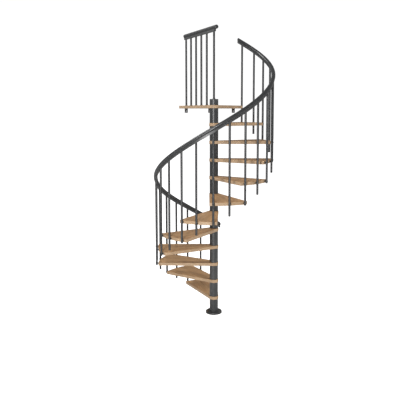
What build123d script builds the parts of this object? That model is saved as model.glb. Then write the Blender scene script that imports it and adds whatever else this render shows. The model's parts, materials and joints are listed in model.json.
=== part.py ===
from build123d import *
from math import acos, atan2, cos, degrees, hypot, radians, sin
import os

# Spiral staircase in millimetres: stair axis on Z, floor at z = 0, treads climbing counter-clockwise.
# The landing's straight edge faces +Y.

# The flight
riser = 208.6
tread_count = 11
tread_pitch = 29.87
first_tread_angle = 104.7

# Treads and landing
tread_thickness = 36.0
tread_half_angle = 18.6
hub_radius = 56.0
corner_round = 8.0
edge_round = 3.0
landing_corner_angle = 56.5
landing_notch_angle = 64.0
landing_depth = 770.0
landing_right = 354.0
landing_left = -451.0

# Column
sleeve_radius = 50.8
sleeve_wall = 2.5
sleeve_chamfer = 1.0
core_radius = 30.0
core_wall = 3.0
core_clearance = 0.3
column_overrun = 71.0
cap_thickness = 6.0
cap_plug_depth = 14.0

# Base flange
flange_radius = 97.5
flange_thickness = 22.0
flange_round = 6.0
flange_bolt_circle = 146.0
flange_bolt_hole = 11.0
flange_bolt_count = 4
socket_height = 60.0

# Balusters and their brackets
baluster_radius = 12.5
baluster_circle = 687.5
baluster_drop = 145.7
baluster_end_round = 5.0
middle_baluster_lag = 0.4
tread_gap = 9.0
bracket_radius = 7.0
bracket_foot_radius = 10.0
bracket_foot = 3.0
saddle_clearance = 0.1

# Handrail and the carrier bar under it
rail_radius = 23.0
rail_height = 889.0
rail_riser = 209.9
rail_lead = 6.8
rail_tail = 4.4
carrier_width = 22.0
carrier_bottom = 46.5
carrier_lead = 7.4
carrier_tail = 5.2
seat_clearance = 0.3
cap_rise = 12.0

# Landing railing, fixed at the column top and on the landing
landing_rail_height = 893.0
landing_rail_angle = 116.0
landing_rail_near = 66.0
landing_rail_far = 843.0
landing_post_offset = 192.6
landing_post_spacing = 153.3
landing_post_count = 5
landing_carrier_near = 30.0
landing_carrier_far = 848.0

# Wall brackets under the landing's straight edge
wall_bracket_width = 40.0
wall_bracket_height = 56.0
wall_bracket_reach = 60.0
wall_bracket_steel = 5.0
wall_bracket_hole = 9.0
wall_bracket_drop = 33.0
wall_bracket_inset = 94.0

tread_edge_radius = baluster_circle - baluster_radius - tread_gap
landing_top = riser * (tread_count + 1)
landing_under = landing_top - tread_thickness
sleeve_length = riser - tread_thickness
core_bore = core_radius + core_clearance
column_top = landing_top + column_overrun
half_pitch = tread_pitch / 2
last_baluster_angle = first_tread_angle + (tread_count - 0.5) * tread_pitch
first_baluster_angle = first_tread_angle - half_pitch

os.makedirs("parts", exist_ok=True)


def save(part, name):
    part.label = name
    export_step(part, f"parts/{name}.step")


def around(radius, angle, z=0.0):
    return Vector(radius * cos(radians(angle)), radius * sin(radians(angle)), z)


def tread_angle(number):
    return first_tread_angle + (number - 1) * tread_pitch


def pitch_height(angle):
    """Height of the line through the tread tops at this angle."""
    return riser * (1 + (angle - first_tread_angle) / tread_pitch)


def radial_plane(radius, angle, z):
    """Upright plane through the stair axis: X outwards, Y up."""
    out = around(1, angle)
    return Plane(origin=around(radius, angle, z), x_dir=out, z_dir=out.cross(Vector(0, 0, 1)))


def hub_tangent_angle(reach):
    """Angle at the axis between a corner at this reach and where its side touches the hub."""
    return degrees(acos(hub_radius / reach))


# Base flange: a round plate with a socket for the core tube and four floor bolts.
with BuildPart() as base_flange:
    with BuildSketch():
        Circle(flange_radius)
    extrude(amount=flange_thickness)
    fillet(base_flange.edges().filter_by(GeomType.CIRCLE).group_by(Axis.Z)[-1], flange_round)
    with BuildSketch(Plane.XY.offset(flange_thickness)):
        Circle(core_radius - core_wall - core_clearance)
    extrude(amount=socket_height)
    with Locations(Plane.XY.offset(flange_thickness)):
        with PolarLocations(flange_bolt_circle / 2, flange_bolt_count, start_angle=45):
            Hole(flange_bolt_hole / 2)
save(base_flange.part, "base_flange")

# Core tube: runs from the flange to the cap inside the sleeves and through every tread.
with BuildPart() as core_tube:
    with BuildSketch(Plane.XY.offset(flange_thickness)):
        Circle(core_radius)
        Circle(core_radius - core_wall, mode=Mode.SUBTRACT)
    extrude(amount=column_top - cap_thickness - flange_thickness)
save(core_tube.part, "core_tube")


def column_sleeve(name, bottom, top):
    with BuildPart() as sleeve:
        with BuildSketch(Plane.XY.offset(bottom)):
            Circle(sleeve_radius)
            Circle(sleeve_radius - sleeve_wall, mode=Mode.SUBTRACT)
        extrude(amount=top - bottom)
        outer = sleeve.edges().filter_by(GeomType.CIRCLE).sort_by(SortBy.RADIUS)[-2:]
        chamfer(outer, sleeve_chamfer)
    save(sleeve.part, name)


# Column sleeves: one between each pair of treads, the first standing on the flange.
for number in range(1, tread_count + 2):
    sleeve_top = number * riser - tread_thickness
    sleeve_bottom = max(sleeve_top - sleeve_length, flange_thickness)
    column_sleeve(f"column_sleeve_{number:02d}", sleeve_bottom, sleeve_top)
column_sleeve("column_top_sleeve", landing_top, column_top - cap_thickness)

# Column cap: a flat disc with a plug inside the core tube.
with BuildPart() as column_cap:
    with BuildSketch(Plane.XY.offset(column_top - cap_thickness)):
        Circle(sleeve_radius)
    extrude(amount=cap_thickness)
    chamfer(column_cap.edges().group_by(Axis.Z)[-1], sleeve_chamfer)
    with BuildSketch(Plane.XY.offset(column_top - cap_thickness)):
        Circle(core_radius - core_wall - core_clearance)
    extrude(amount=-cap_plug_depth)
save(column_cap.part, "column_cap")


def tread(name, angle, top):
    """Wedge tread: straight sides touch the hub disc, the outer edge is an arc about the stair axis."""
    touch = tread_half_angle + hub_tangent_angle(tread_edge_radius)
    with BuildPart() as board:
        with BuildSketch(Plane.XY.offset(top - tread_thickness)) as outline:
            with BuildLine():
                right = around(tread_edge_radius, angle - tread_half_angle)
                left = around(tread_edge_radius, angle + tread_half_angle)
                ThreePointArc(right, around(tread_edge_radius, angle), left)
                Line(left, around(hub_radius, angle + touch))
                back = around(hub_radius, angle + 180)
                ThreePointArc(around(hub_radius, angle + touch), back, around(hub_radius, angle - touch))
                Line(around(hub_radius, angle - touch), right)
            make_face()
            corners = outline.vertices().sort_by_distance((0, 0, top - tread_thickness))[-2:]
            fillet(corners, corner_round)
        extrude(amount=tread_thickness)
        fillet(board.faces().filter_by(Axis.Z).edges(), edge_round)
        with Locations((0, 0, top)):
            Hole(core_bore)
    save(board.part, name)


# Treads: oak boards threaded on the core tube.
for number in range(1, tread_count + 1):
    tread(f"tread_{number:02d}", tread_angle(number), number * riser)

# Landing: its trailing corner follows the treads, then it widens to the straight wall edge.
with BuildPart() as landing:
    with BuildSketch(Plane.XY.offset(landing_under)) as landing_outline:
        with BuildLine():
            first = around(tread_edge_radius, landing_corner_angle)
            notch = around(tread_edge_radius, landing_notch_angle)
            middle_angle = (landing_corner_angle + landing_notch_angle) / 2
            ThreePointArc(first, around(tread_edge_radius, middle_angle), notch)
            far_right = Vector(landing_right, landing_depth)
            far_left = Vector(landing_left, landing_depth)
            Line(notch, far_right)
            Line(far_right, far_left)
            left_reach = hypot(landing_left, landing_depth)
            left_angle = degrees(atan2(landing_depth, landing_left))
            left_touch = left_angle + hub_tangent_angle(left_reach)
            right_touch = landing_corner_angle - hub_tangent_angle(tread_edge_radius)
            Line(far_left, around(hub_radius, left_touch))
            hub_back = around(hub_radius, (left_touch + right_touch + 360) / 2)
            ThreePointArc(around(hub_radius, left_touch), hub_back, around(hub_radius, right_touch))
            Line(around(hub_radius, right_touch), first)
        make_face()
    extrude(amount=tread_thickness)
    fillet(landing.faces().filter_by(Axis.Z).edges(), edge_round)
    with Locations((0, 0, landing_top)):
        Hole(core_bore)
save(landing.part, "landing")


def rail_axis(angle):
    """Height of the handrail's axis at this angle; it climbs a little more steeply than the treads."""
    turn = angle - first_baluster_angle
    return pitch_height(first_baluster_angle) + rail_height + rail_riser * turn / tread_pitch


def rail_line(start, end):
    """The handrail's axis between two angles, an edge on one helix about the stair axis."""
    climb = rail_riser * (end - start) / tread_pitch
    base = Plane(origin=(0, 0, rail_axis(start)), x_dir=around(1, start), z_dir=(0, 0, 1))
    return base.from_local_coords(
        Edge.make_helix(rail_riser * 360 / tread_pitch, climb, baluster_circle)
    )


rail_start = first_baluster_angle - rail_lead
rail_end = last_baluster_angle + rail_tail
carrier_start = first_baluster_angle - carrier_lead
carrier_end = last_baluster_angle + carrier_tail

# Handrail: a round section carried up one long helix, kept upright all the way.
with BuildPart() as handrail:
    with BuildSketch(radial_plane(baluster_circle, rail_start, rail_axis(rail_start))):
        Circle(rail_radius)
    sweep(path=rail_line(rail_start, rail_end), is_frenet=True)
save(handrail.part, "handrail")

# Carrier bar: follows the same helix with a saddle that takes the underside of the handrail.
with BuildPart() as rail_carrier:
    with BuildSketch(radial_plane(baluster_circle, carrier_start, rail_axis(carrier_start))):
        Rectangle(carrier_width, carrier_bottom, align=(Align.CENTER, Align.MAX))
        Circle(rail_radius + seat_clearance, mode=Mode.SUBTRACT)
    sweep(path=rail_line(carrier_start, carrier_end), is_frenet=True)
save(rail_carrier.part, "rail_carrier")


def end_dome(centre, outwards):
    """Shallow dome that closes a rail's end, turned about the rail's own line."""
    side = outwards.cross(Vector(0, 0, 1))
    with BuildPart() as dome:
        with BuildSketch(Plane(origin=centre, x_dir=outwards, z_dir=side)):
            with BuildLine():
                Line((0, 0), (cap_rise, 0))
                EllipticalCenterArc((0, 0), cap_rise, rail_radius, arc_size=90)
                Line((0, rail_radius), (0, 0))
            make_face()
        revolve(axis=Axis(centre, outwards))
    return dome.part


def helix_point(angle):
    return around(baluster_circle, angle, rail_axis(angle))


# End caps of the long handrail.
start_dome = end_dome(helix_point(rail_start), around(1, rail_start - 90))
end_cap = end_dome(helix_point(rail_end), around(1, rail_end + 90))
with BuildPart() as handrail_end_caps:
    add([start_dome, end_cap])
save(handrail_end_caps.part, "handrail_end_caps")


def helix_baluster(angle):
    """Round bar: bare rounded end below, top cut to the slope of the carrier bar."""
    slope = atan2(rail_riser, baluster_circle * radians(tread_pitch))
    foot = max(pitch_height(angle) - baluster_drop, 0)
    seat = rail_axis(angle) - carrier_bottom - seat_clearance
    forward = around(1, angle + 90)
    tilt = Vector(-forward.X * sin(slope), -forward.Y * sin(slope), cos(slope))
    with BuildPart() as bar:
        with BuildSketch(Plane.XY.offset(foot)):
            with Locations(around(baluster_circle, angle)):
                Circle(baluster_radius)
        extrude(amount=seat - foot + 2 * baluster_radius)
        split(bisect_by=Plane(origin=around(baluster_circle, angle, seat), z_dir=tilt), keep=Keep.BOTTOM)
        fillet(bar.faces().sort_by(Axis.Z)[0].edges(), baluster_end_round)
    return bar.part


# Balusters: some join two treads, the others stand near the middle of a tread.
connecting_angles = [first_baluster_angle + step * tread_pitch for step in range(tread_count + 1)]
middle_angles = [tread_angle(number) - middle_baluster_lag for number in range(1, tread_count + 1)]
with BuildPart() as connecting_balusters:
    add([helix_baluster(angle) for angle in connecting_angles])
save(connecting_balusters.part, "connecting_balusters")
with BuildPart() as middle_balusters:
    add([helix_baluster(angle) for angle in middle_angles])
save(middle_balusters.part, "middle_balusters")


def baluster_bracket(angle, top):
    """Round stand-off between the tread's edge and the baluster: a foot, a neck and a saddle."""
    level = top - tread_thickness / 2
    seat = around(tread_edge_radius + seat_clearance, angle, level)
    with BuildPart() as standoff:
        with BuildSketch(Plane(origin=seat, z_dir=around(1, angle))):
            Circle(bracket_foot_radius)
        extrude(amount=bracket_foot)
        with BuildSketch(Plane(origin=seat, z_dir=around(1, angle))):
            Circle(bracket_radius)
        extrude(amount=baluster_circle - tread_edge_radius - seat_clearance)
        with BuildSketch(Plane.XY.offset(level - bracket_foot_radius)):
            with Locations(around(baluster_circle, angle)):
                Circle(baluster_radius + saddle_clearance)
        extrude(amount=2 * bracket_foot_radius, mode=Mode.SUBTRACT)
    return standoff.part


# Brackets: each tread holds three balusters, the landing one.
tops = [(tread_angle(number), number * riser) for number in range(1, tread_count + 2)]
leading = [baluster_bracket(angle + half_pitch, top) for angle, top in tops[:-1]]
middle = [baluster_bracket(angle - middle_baluster_lag, top) for angle, top in tops[:-1]]
trailing = [baluster_bracket(angle - half_pitch, top) for angle, top in tops]
with BuildPart() as leading_brackets:
    add(leading)
save(leading_brackets.part, "leading_brackets")
with BuildPart() as middle_brackets:
    add(middle)
save(middle_brackets.part, "middle_brackets")
with BuildPart() as trailing_brackets:
    add(trailing)
save(trailing_brackets.part, "trailing_brackets")

# Landing railing: one post on the column cap, the others on the landing, in a line from the stair axis.
landing_axis = landing_top + landing_rail_height
landing_seat = landing_axis - carrier_bottom
with BuildPart() as landing_posts:
    with BuildSketch(Plane.XY.offset(column_top)):
        Circle(baluster_radius)
    extrude(amount=landing_seat - column_top)
    with BuildSketch(Plane.XY.offset(landing_top)):
        for index in range(landing_post_count):
            reach = landing_post_offset + index * landing_post_spacing
            with Locations(around(reach, landing_rail_angle)):
                Circle(baluster_radius)
    extrude(amount=landing_seat - landing_top)
save(landing_posts.part, "landing_posts")


def along_landing_rail(distance):
    """Upright plane across the landing rail at this distance from the stair axis."""
    out = around(1, landing_rail_angle)
    side = Vector(0, 0, 1).cross(out)
    return Plane(origin=around(distance, landing_rail_angle, landing_axis), x_dir=side, z_dir=out)


with BuildPart() as landing_handrail:
    with BuildSketch(along_landing_rail(-landing_rail_near)):
        Circle(rail_radius)
    extrude(amount=landing_rail_near + landing_rail_far)
save(landing_handrail.part, "landing_handrail")

with BuildPart() as landing_rail_carrier:
    with BuildSketch(along_landing_rail(-landing_carrier_near)):
        Rectangle(carrier_width, carrier_bottom, align=(Align.CENTER, Align.MAX))
        Circle(rail_radius + seat_clearance, mode=Mode.SUBTRACT)
    extrude(amount=landing_carrier_near + landing_carrier_far)
save(landing_rail_carrier.part, "landing_rail_carrier")

along_landing = around(1, landing_rail_angle)
near_end = around(-landing_rail_near, landing_rail_angle, landing_axis)
far_end = around(landing_rail_far, landing_rail_angle, landing_axis)
near_dome = end_dome(near_end, -along_landing)
far_dome = end_dome(far_end, along_landing)
with BuildPart() as landing_rail_end_caps:
    add([near_dome, far_dome])
save(landing_rail_end_caps.part, "landing_rail_end_caps")

# Wall brackets: three steel angles under the landing's straight edge, drilled for wall bolts.
bracket_left = landing_left + wall_bracket_inset
bracket_right = landing_right - wall_bracket_inset
bracket_middle = (bracket_left + bracket_right) / 2
with BuildPart() as wall_brackets:
    with BuildSketch(Plane.XY.offset(landing_under)):
        for x in (bracket_left, bracket_middle, bracket_right):
            with Locations((x, landing_depth)):
                Rectangle(wall_bracket_width, wall_bracket_reach, align=(Align.CENTER, Align.MAX))
    extrude(amount=-wall_bracket_steel)
    with BuildSketch(Plane.XY.offset(landing_under)):
        for x in (bracket_left, bracket_middle, bracket_right):
            with Locations((x, landing_depth)):
                Rectangle(wall_bracket_width, wall_bracket_steel, align=(Align.CENTER, Align.MAX))
    extrude(amount=-wall_bracket_height)
    for x in (bracket_left, bracket_middle, bracket_right):
        hole_centre = (x, landing_depth, landing_under - wall_bracket_drop)
        with Locations(Plane(origin=hole_centre, z_dir=(0, 1, 0))):
            Hole(wall_bracket_hole / 2, depth=wall_bracket_steel)
save(wall_brackets.part, "wall_brackets")
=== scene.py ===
"""Spiral staircase: anthracite steel column and balusters, oak treads, one long helical handrail."""

import json
from math import pi, radians

import bpy
import numpy as np
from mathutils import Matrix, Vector


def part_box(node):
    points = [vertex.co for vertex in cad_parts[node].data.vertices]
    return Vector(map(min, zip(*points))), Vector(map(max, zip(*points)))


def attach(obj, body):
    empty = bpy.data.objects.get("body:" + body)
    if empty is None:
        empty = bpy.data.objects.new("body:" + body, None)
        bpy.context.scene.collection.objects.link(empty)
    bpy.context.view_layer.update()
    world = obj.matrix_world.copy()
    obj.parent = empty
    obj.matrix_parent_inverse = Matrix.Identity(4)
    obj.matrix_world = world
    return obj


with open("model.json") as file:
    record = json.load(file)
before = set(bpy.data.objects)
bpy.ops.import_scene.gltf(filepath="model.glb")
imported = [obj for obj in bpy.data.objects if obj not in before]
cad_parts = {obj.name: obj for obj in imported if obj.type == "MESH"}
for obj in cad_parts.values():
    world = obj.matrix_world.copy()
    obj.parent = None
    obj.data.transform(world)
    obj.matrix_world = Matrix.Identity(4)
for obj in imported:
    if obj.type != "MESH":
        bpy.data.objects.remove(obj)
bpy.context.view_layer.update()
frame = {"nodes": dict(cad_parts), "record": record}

# Sizes in metres, angles in degrees; the levels come from the frame
TREAD_COUNT = sum(name.startswith("tread_") for name in frame["nodes"])
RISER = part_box("tread_01")[1].z
LANDING_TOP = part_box("landing")[1].z
BOARD = LANDING_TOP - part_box("landing")[0].z
TREAD_PITCH = 29.87
FIRST_TREAD = 104.7
MIDDLE_LAG = 0.4
BAR_RADIUS = 0.0125
BAR_CIRCLE = 0.6875
BOLT_COUNT = 4
BOLT_CIRCLE = 0.073
FIRST_BOLT = 45
POST_LINE = 116.0
POST_FIRST = 0.1926
POST_SPACING = 0.1533
POST_COUNT = 5
BRACKET_WIDTH = 0.040
BRACKET_STEEL = 0.005
BRACKET_SCREWS_BACK = (0.022, 0.046)
STAVE_LENGTH = 0.36
STAVE_WIDTH = 0.043
STAVE_JOINT = 0.0004

# The camera fitted to the photograph
PHOTO_PIXELS = 415
FOCAL_PIXELS = 539.3
CENTRE_PIXEL = (209.36, 164.56)
CAMERA_PLACE = Vector((-0.0539, -6.353, LANDING_TOP - 0.0669))
CAMERA_TILT = 0.0992
SENSOR = 36.0


def tread_angle(number):
    """Direction of a tread's middle line, seen from above."""
    return FIRST_TREAD + (number - 1) * TREAD_PITCH


def outwards(angle):
    """Level unit vector away from the stair axis."""
    return np.array([np.cos(radians(angle)), np.sin(radians(angle)), 0.0])


# Camera
def photo_camera():
    data = bpy.data.cameras.new("photo_camera")
    camera = bpy.data.objects.new("photo_camera", data)
    bpy.context.scene.collection.objects.link(camera)
    camera.location = CAMERA_PLACE
    camera.rotation_euler = (pi / 2 - CAMERA_TILT, 0, 0)
    data.sensor_width = SENSOR
    data.lens = FOCAL_PIXELS / PHOTO_PIXELS * SENSOR
    data.shift_x = (PHOTO_PIXELS / 2 - CENTRE_PIXEL[0]) / PHOTO_PIXELS
    data.shift_y = (CENTRE_PIXEL[1] - PHOTO_PIXELS / 2) / PHOTO_PIXELS
    bpy.context.scene.camera = camera


photo_camera()
bpy.context.scene.view_settings.view_transform = "Standard"


# Materials
class Paint:
    """One material: its node tree, with short calls for nodes and links."""

    def __init__(self, name, roughness, metallic=0.0):
        self.material = bpy.data.materials.new(name)
        self.material.use_nodes = True
        self.tree = self.material.node_tree
        self.surface = self.tree.nodes["Principled BSDF"]
        self.surface.inputs["Roughness"].default_value = roughness
        self.surface.inputs["Metallic"].default_value = metallic
        self.place = self.tree.nodes.new("ShaderNodeTexCoord").outputs["Object"]

    def node(self, kind, **values):
        made = self.tree.nodes.new("ShaderNode" + kind)
        for key, value in values.items():
            made.inputs[key.replace("_", " ")].default_value = value
        return made

    def link(self, source, target):
        self.tree.links.new(source, target)

    def noise(self, vector, scale, detail, roughness=0.5):
        made = self.node("TexNoise", Scale=scale, Detail=detail, Roughness=roughness)
        self.link(vector, made.inputs["Vector"])
        return made.outputs["Fac"]

    def ramp(self, value, *stops):
        """Colour ramp; each stop is a place and a colour."""
        made = self.node("ValToRGB")
        elements = made.color_ramp.elements
        while len(elements) < len(stops):
            elements.new(0.5)
        for element, (place, colour) in zip(elements, stops):
            element.position = place
            element.color = (*colour, 1)
        self.link(value, made.inputs["Fac"])
        return made.outputs["Color"]

    def spread(self, value, low, high):
        """Value between 0.3 and 0.7 spread over low to high."""
        made = self.node("MapRange", From_Min=0.3, From_Max=0.7, To_Min=low, To_Max=high)
        self.link(value, made.inputs["Value"])
        return made.outputs["Result"]

    def blend(self, kind, share, first, second):
        made = self.tree.nodes.new("ShaderNodeMixRGB")
        made.blend_type = kind
        made.inputs["Fac"].default_value = share
        self.link(first, made.inputs["Color1"])
        self.link(second, made.inputs["Color2"])
        return made.outputs["Color"]

    def relief(self, height, distance, strength):
        made = self.node("Bump", Strength=strength, Distance=distance)
        self.link(height, made.inputs["Height"])
        self.link(made.outputs["Normal"], self.surface.inputs["Normal"])


def powder_coat(name, dark, light, gloss, peel_scale):
    """Powder coat: fine orange peel, with colour and gloss a little uneven."""
    paint = Paint(name, gloss)
    cloud = paint.noise(paint.place, 14.0, 4.0, 0.6)
    paint.link(paint.ramp(cloud, (0.35, dark), (0.65, light)), paint.surface.inputs["Base Color"])
    paint.link(paint.spread(cloud, gloss - 0.04, gloss + 0.06), paint.surface.inputs["Roughness"])
    paint.relief(paint.noise(paint.place, peel_scale, 2.0), 0.0003, 0.15)
    return paint.material


OAK_DARK = (0.415, 0.245, 0.118)
OAK_MIDDLE = (0.475, 0.288, 0.143)
OAK_LIGHT = (0.545, 0.342, 0.173)
# Painted highlight: the paler, greyer oak mixed into the edges for the front light's sheen, and how much
# of it is mixed in
OAK_EDGE_SHEEN = (0.31, 0.24, 0.17)
EDGE_SHEEN_SHARE = 0.6
LACQUER_SHINE = 0.3
WHITE = (1, 1, 1)


def oak_staves(paint, board):
    """Glued staves, each with its own tone."""
    staves = paint.node(
        "TexBrick", Scale=1.0, Brick_Width=STAVE_LENGTH, Row_Height=STAVE_WIDTH, Mortar_Size=STAVE_JOINT)
    staves.offset = 0.37
    staves.inputs["Color1"].default_value = (0, 0, 0, 1)
    staves.inputs["Color2"].default_value = (1, 1, 1, 1)
    staves.inputs["Mortar"].default_value = (0.4, 0.4, 0.4, 1)
    paint.link(board, staves.inputs["Vector"])
    return paint.ramp(staves.outputs["Color"], (0.0, OAK_DARK), (0.5, OAK_MIDDLE), (1.0, OAK_LIGHT))


def drawn_noise(paint, board, along, across, scale, detail, roughness=0.5):
    """Noise drawn out along the staves."""
    drawn = paint.node("Mapping")
    drawn.inputs["Scale"].default_value = (along, across, across)
    paint.link(board, drawn.inputs["Vector"])
    return paint.noise(drawn.outputs["Vector"], scale, detail, roughness)


def painted_edge_sheen(paint, colour, top):
    """Painted highlight: the same wood, paler and greyer below the board's top face, standing in for the
    front light's sheen on the edges.
    """
    share = paint.node("MapRange", From_Min=top - 0.003, From_Max=top - 0.0006)
    share.inputs["To Min"].default_value = EDGE_SHEEN_SHARE
    share.inputs["To Max"].default_value = 0.0
    height = paint.node("SeparateXYZ")
    paint.link(paint.place, height.inputs["Vector"])
    paint.link(height.outputs["Z"], share.inputs["Value"])
    with_sheen = paint.node("MixRGB", Color2=(*OAK_EDGE_SHEEN, 1))
    paint.link(share.outputs["Result"], with_sheen.inputs["Fac"])
    paint.link(colour, with_sheen.inputs["Color1"])
    return with_sheen.outputs["Color"]


def oak(name, angle, seed, top):
    """Oak staves along the tread, with growth lines and fine pores, matt lacquered, and a painted
    highlight paling the edges below the top face.
    """
    paint = Paint(name, 0.5)
    paint.surface.inputs["Specular IOR Level"].default_value = LACQUER_SHINE
    turned = paint.node("Mapping")
    turned.vector_type = "TEXTURE"
    turned.inputs["Rotation"].default_value = (0, 0, radians(angle))
    turned.inputs["Location"].default_value = (0.137 * seed, 0.211 * seed, 0)
    paint.link(paint.place, turned.inputs["Vector"])
    board = turned.outputs["Vector"]

    growth = drawn_noise(paint, board, along=3.0, across=60.0, scale=1.6, detail=6.0, roughness=0.62)
    rings = drawn_noise(paint, board, along=2.2, across=150.0, scale=1.3, detail=3.0, roughness=0.55)
    pores = drawn_noise(paint, board, along=12.0, across=420.0, scale=1.0, detail=3.0)
    streaks = paint.ramp(growth, (0.35, (0.68, 0.62, 0.55)), (0.5, (0.95, 0.94, 0.92)), (0.68, WHITE))
    lines = paint.ramp(rings, (0.38, (0.66, 0.58, 0.50)), (0.47, WHITE))
    specks = paint.ramp(pores, (0.36, (0.72, 0.66, 0.6)), (0.46, WHITE))
    colour = paint.blend("MULTIPLY", 0.8, oak_staves(paint, board), streaks)
    colour = paint.blend("MULTIPLY", 0.6, colour, lines)
    colour = paint.blend("MULTIPLY", 0.6, colour, specks)
    # Painted highlight: the edges below the top face are paled for the front light's sheen
    paint.link(painted_edge_sheen(paint, colour, top), paint.surface.inputs["Base Color"])
    paint.link(paint.spread(growth, 0.42, 0.56), paint.surface.inputs["Roughness"])
    paint.relief(pores, 0.0003, 0.25)
    return paint.material


def bright_zinc():
    """Zinc plating, a little cloudy."""
    paint = Paint("zinc_plated_steel", 0.35, metallic=1.0)
    cloud = paint.noise(paint.place, 60.0, 3.0)
    colour = paint.ramp(cloud, (0.3, (0.40, 0.41, 0.42)), (0.7, (0.55, 0.56, 0.57)))
    paint.link(colour, paint.surface.inputs["Base Color"])
    return paint.material


ANTHRACITE = ((0.030, 0.031, 0.032), (0.040, 0.041, 0.042))
# Painted shade: the bars' coat is a darker copy of the column's anthracite
BAR_SHADED_GREY = ((0.019, 0.020, 0.021), (0.026, 0.027, 0.028))
RAIL_GREY = ((0.021, 0.022, 0.023), (0.028, 0.029, 0.030))
# Painted shade: the wall brackets' coat is darker for the shadow under the landing
BRACKET_SHADE_DARK = ((0.018, 0.018, 0.018), (0.024, 0.024, 0.024))
STEEL = powder_coat("anthracite_powder_coat", *ANTHRACITE, gloss=0.34, peel_scale=900.0)
RAIL = powder_coat("anthracite_handrail", *RAIL_GREY, gloss=0.30, peel_scale=500.0)
# Painted shade: the bars get a darker copy of the same anthracite coat
SHADED_BARS = powder_coat("anthracite_bar_coat_painted_shade", *BAR_SHADED_GREY, gloss=0.34, peel_scale=900.0)
# Painted shade: the wall brackets' darker coat stands in for the landing's shadow; its matt gloss is the
# bracket's own
SHADED_BRACKET_COAT = powder_coat("bracket_coat_painted_shade", *BRACKET_SHADE_DARK, gloss=0.62, peel_scale=900.0)
ZINC = bright_zinc()


def dress(node, material):
    mesh = frame["nodes"][node].data
    mesh.materials.clear()
    mesh.materials.append(material)


finishes = {"steel": STEEL, "rail": RAIL}
for part in frame["record"]["subparts"]:
    if part["material_slot"] in finishes:
        dress(part["node"], finishes[part["material_slot"]])
for number in range(1, TREAD_COUNT + 1):
    wood = oak(f"oak_tread_{number:02d}", tread_angle(number), number, number * RISER)
    dress(f"tread_{number:02d}", wood)
dress("landing", oak("oak_landing", 90.0, TREAD_COUNT + 1, LANDING_TOP))
# The wall brackets' darker coat is painted shade from the landing above
dress("wall_brackets", SHADED_BRACKET_COAT)
# The bars' darker coat is painted shade
for bars in ("connecting_balusters", "middle_balusters", "landing_posts"):
    dress(bars, SHADED_BARS)


# Small pieces turned on a lathe
def add_piece(name, points, faces, material, smooth):
    mesh = bpy.data.meshes.new(name)
    mesh.from_pydata(points.reshape(-1, 3).tolist(), [], faces.tolist())
    mesh.polygons.foreach_set("use_smooth", np.full(len(mesh.polygons), smooth))
    mesh.materials.append(material)
    piece = bpy.data.objects.new(name, mesh)
    bpy.context.scene.collection.objects.link(piece)
    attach(piece, "root")


def turned_pieces(name, profile, places, axes, material, slot, sides=20, smooth=True):
    """One lathed piece at each place.

    point(i, j, k) = place i + axis i * height j + radius j * (cos u * across i + sin u * beside i),
    where u = 2 pi k / sides and the profile lists a radius and a height for each j.
    """
    places = np.asarray(places, float)
    axes = np.asarray(axes, float)
    helper = np.where(np.abs(axes[:, 2:3]) > 0.9, [[1.0, 0.0, 0.0]], [[0.0, 0.0, 1.0]])
    across = np.cross(axes, helper)
    across /= np.linalg.norm(across, axis=1, keepdims=True)
    beside = np.cross(axes, across)
    radius, height = np.asarray(profile, float).T
    turn = 2 * pi * np.arange(sides) / sides
    ring = np.cos(turn)[:, None] * across[:, None, None] + np.sin(turn)[:, None] * beside[:, None, None]
    points = radius[:, None, None] * ring + height[:, None, None] * axes[:, None, None]
    points = points + places[:, None, None]

    count, rows = len(places), len(radius)
    index = np.arange(count * rows * sides).reshape(count, rows, sides)
    following = np.roll(index, -1, axis=2)
    faces = np.stack([index[:, :-1], following[:, :-1], following[:, 1:], index[:, 1:]], axis=-1)
    add_piece(name, points, faces.reshape(-1, 4), material, smooth)


def edge_fixings():
    """Place and direction of each baluster's fixing at a tread's edge, on the bar's outer face."""
    places, axes = [], []
    half = TREAD_PITCH / 2
    for number in range(1, TREAD_COUNT + 2):
        level = number * RISER - BOARD / 2
        turns = (-half,) if number > TREAD_COUNT else (-half, -MIDDLE_LAG, half)
        for turn in turns:
            out = outwards(tread_angle(number) + turn)
            places.append(out * (BAR_CIRCLE + BAR_RADIUS) + (0, 0, level))
            axes.append(out)
    return places, axes


def tread_edge_screws():
    """Low domed heads, one on each baluster where it is fixed to a tread or the landing."""
    dome = [(0.0068, 0), (0.0068, 0.0012), (0.0056, 0.0026), (0.0034, 0.0036), (0, 0.0040)]
    turned_pieces("tread_edge_screws", dome, *edge_fixings(), STEEL, "steel", sides=16)


def flange_bolts():
    """Hexagon bolts with washers on the base flange, which the lowest sleeve stands on."""
    flange_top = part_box("column_sleeve_01")[0].z
    turns = [FIRST_BOLT + 360 / BOLT_COUNT * k for k in range(BOLT_COUNT)]
    spots = [outwards(turn) * BOLT_CIRCLE + (0, 0, flange_top) for turn in turns]
    upright = [(0, 0, 1)] * len(spots)
    washer = [(0.0060, 0.0016), (0.0100, 0.0016), (0.0104, 0.0012), (0.0104, 0)]
    head = [(0.0096, 0.0014), (0.0098, 0.0022), (0.0098, 0.0072), (0.0086, 0.0078), (0, 0.0078)]
    turned_pieces("flange_washers", washer, spots, upright, STEEL, "steel", sides=24)
    turned_pieces("flange_bolts", head, spots, upright, STEEL, "steel", sides=6, smooth=False)


def post_rosettes():
    """Shallow cover ring round the foot of each railing post, the first one on the column's cap."""
    column_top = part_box("column_cap")[1].z
    spots = [(0, 0, column_top)]
    for index in range(POST_COUNT):
        spots.append(outwards(POST_LINE) * (POST_FIRST + index * POST_SPACING) + (0, 0, LANDING_TOP))
    ring = [(0.0126, 0.0065), (0.0150, 0.0065), (0.0180, 0.0050), (0.0205, 0.0020), (0.0210, 0)]
    turned_pieces("post_rosettes", ring, spots, [(0, 0, 1)] * len(spots), STEEL, "steel", sides=32)


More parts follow.
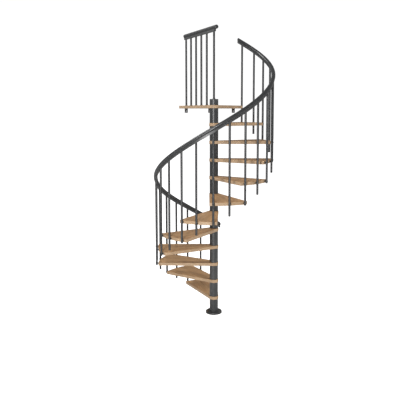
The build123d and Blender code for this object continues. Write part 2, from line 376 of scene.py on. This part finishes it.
def wall_bracket_screws():
    """Two wood screws up into the landing at each wall bracket."""
    low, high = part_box("wall_brackets")
    half = BRACKET_WIDTH / 2
    spots = []
    for x in (low.x + half, (low.x + high.x) / 2, high.x - half):
        for back in BRACKET_SCREWS_BACK:
            spots.append((x, high.y - back, LANDING_TOP - BOARD - BRACKET_STEEL))
    head = [(0.0052, 0), (0.0050, 0.0012), (0.0038, 0.0024), (0, 0.0030)]
    turned_pieces("wall_bracket_screws", head, spots, [(0, 0, -1)] * len(spots), ZINC, "steel", sides=16)


tread_edge_screws()
flange_bolts()
post_rosettes()
wall_bracket_screws()


# Floor, sky and lights
MIDDLE = (0, 0, 1.6)
RAIL_TOP_END = (0.3, 0.3, 3.2)


def pale_floor(radius=40.0, count=96):
    """Flat disc: a centre point and a ring (radius cos u, radius sin u, 0) at equal steps of u."""
    turn = 2 * pi * np.arange(count) / count
    ring = np.stack([radius * np.cos(turn), radius * np.sin(turn), np.zeros(count)], axis=1)
    points = np.vstack([np.zeros((1, 3)), ring])
    index = np.arange(count)
    faces = np.stack([np.zeros(count, int), index + 1, (index + 1) % count + 1], axis=1)
    mesh = bpy.data.meshes.new("pale_floor")
    mesh.from_pydata(points.tolist(), [], faces.tolist())
    paint = Paint("pale_floor", 0.9)
    paint.surface.inputs["Base Color"].default_value = (0.8, 0.8, 0.8, 1)
    paint.surface.inputs["Emission Color"].default_value = (1, 1, 1, 1)
    seen = paint.tree.nodes.new("ShaderNodeLightPath").outputs["Is Camera Ray"]
    paint.link(seen, paint.surface.inputs["Emission Strength"])
    mesh.materials.append(paint.material)
    floor = bpy.data.objects.new("pale_floor", mesh)
    bpy.context.scene.collection.objects.link(floor)


def studio_sky(seen, lighting):
    """Even white surroundings, brighter to the eye than the light they give."""
    world = bpy.data.worlds.new("studio_sky")
    bpy.context.scene.world = world
    world.use_nodes = True
    tree = world.node_tree
    background = tree.nodes["Background"]
    background.inputs["Color"].default_value = (1, 1, 1, 1)
    eye = tree.nodes.new("ShaderNodeLightPath").outputs["Is Camera Ray"]
    strength = tree.nodes.new("ShaderNodeMapRange")
    strength.inputs["To Min"].default_value = lighting
    strength.inputs["To Max"].default_value = seen
    tree.links.new(eye, strength.inputs["Value"])
    tree.links.new(strength.outputs["Result"], background.inputs["Strength"])


def soft_box(name, place, target, width, height, power, mirrored=True):
    """Area light; one that isn't mirrored gives light but no highlight."""
    data = bpy.data.lights.new(name, "AREA")
    data.shape = "RECTANGLE"
    data.size = width
    data.size_y = height
    data.energy = power
    box = bpy.data.objects.new(name, data)
    bpy.context.scene.collection.objects.link(box)
    box.visible_glossy = mirrored
    box.location = place
    box.rotation_euler = (Vector(target) - Vector(place)).to_track_quat("-Z", "Y").to_euler()


pale_floor()
studio_sky(seen=1.05, lighting=0.34)
soft_box("tall_key", (-1.45, -5.9, 2.8), MIDDLE, 0.7, 5.4, 400)
soft_box("right_fill", (5.2, 0.2, 2.6), MIDDLE, 2.4, 3.0, 165, mirrored=False)
soft_box("high_left_fill", (-3.4, 1.1, 5.5), RAIL_TOP_END, 1.4, 2.6, 150)
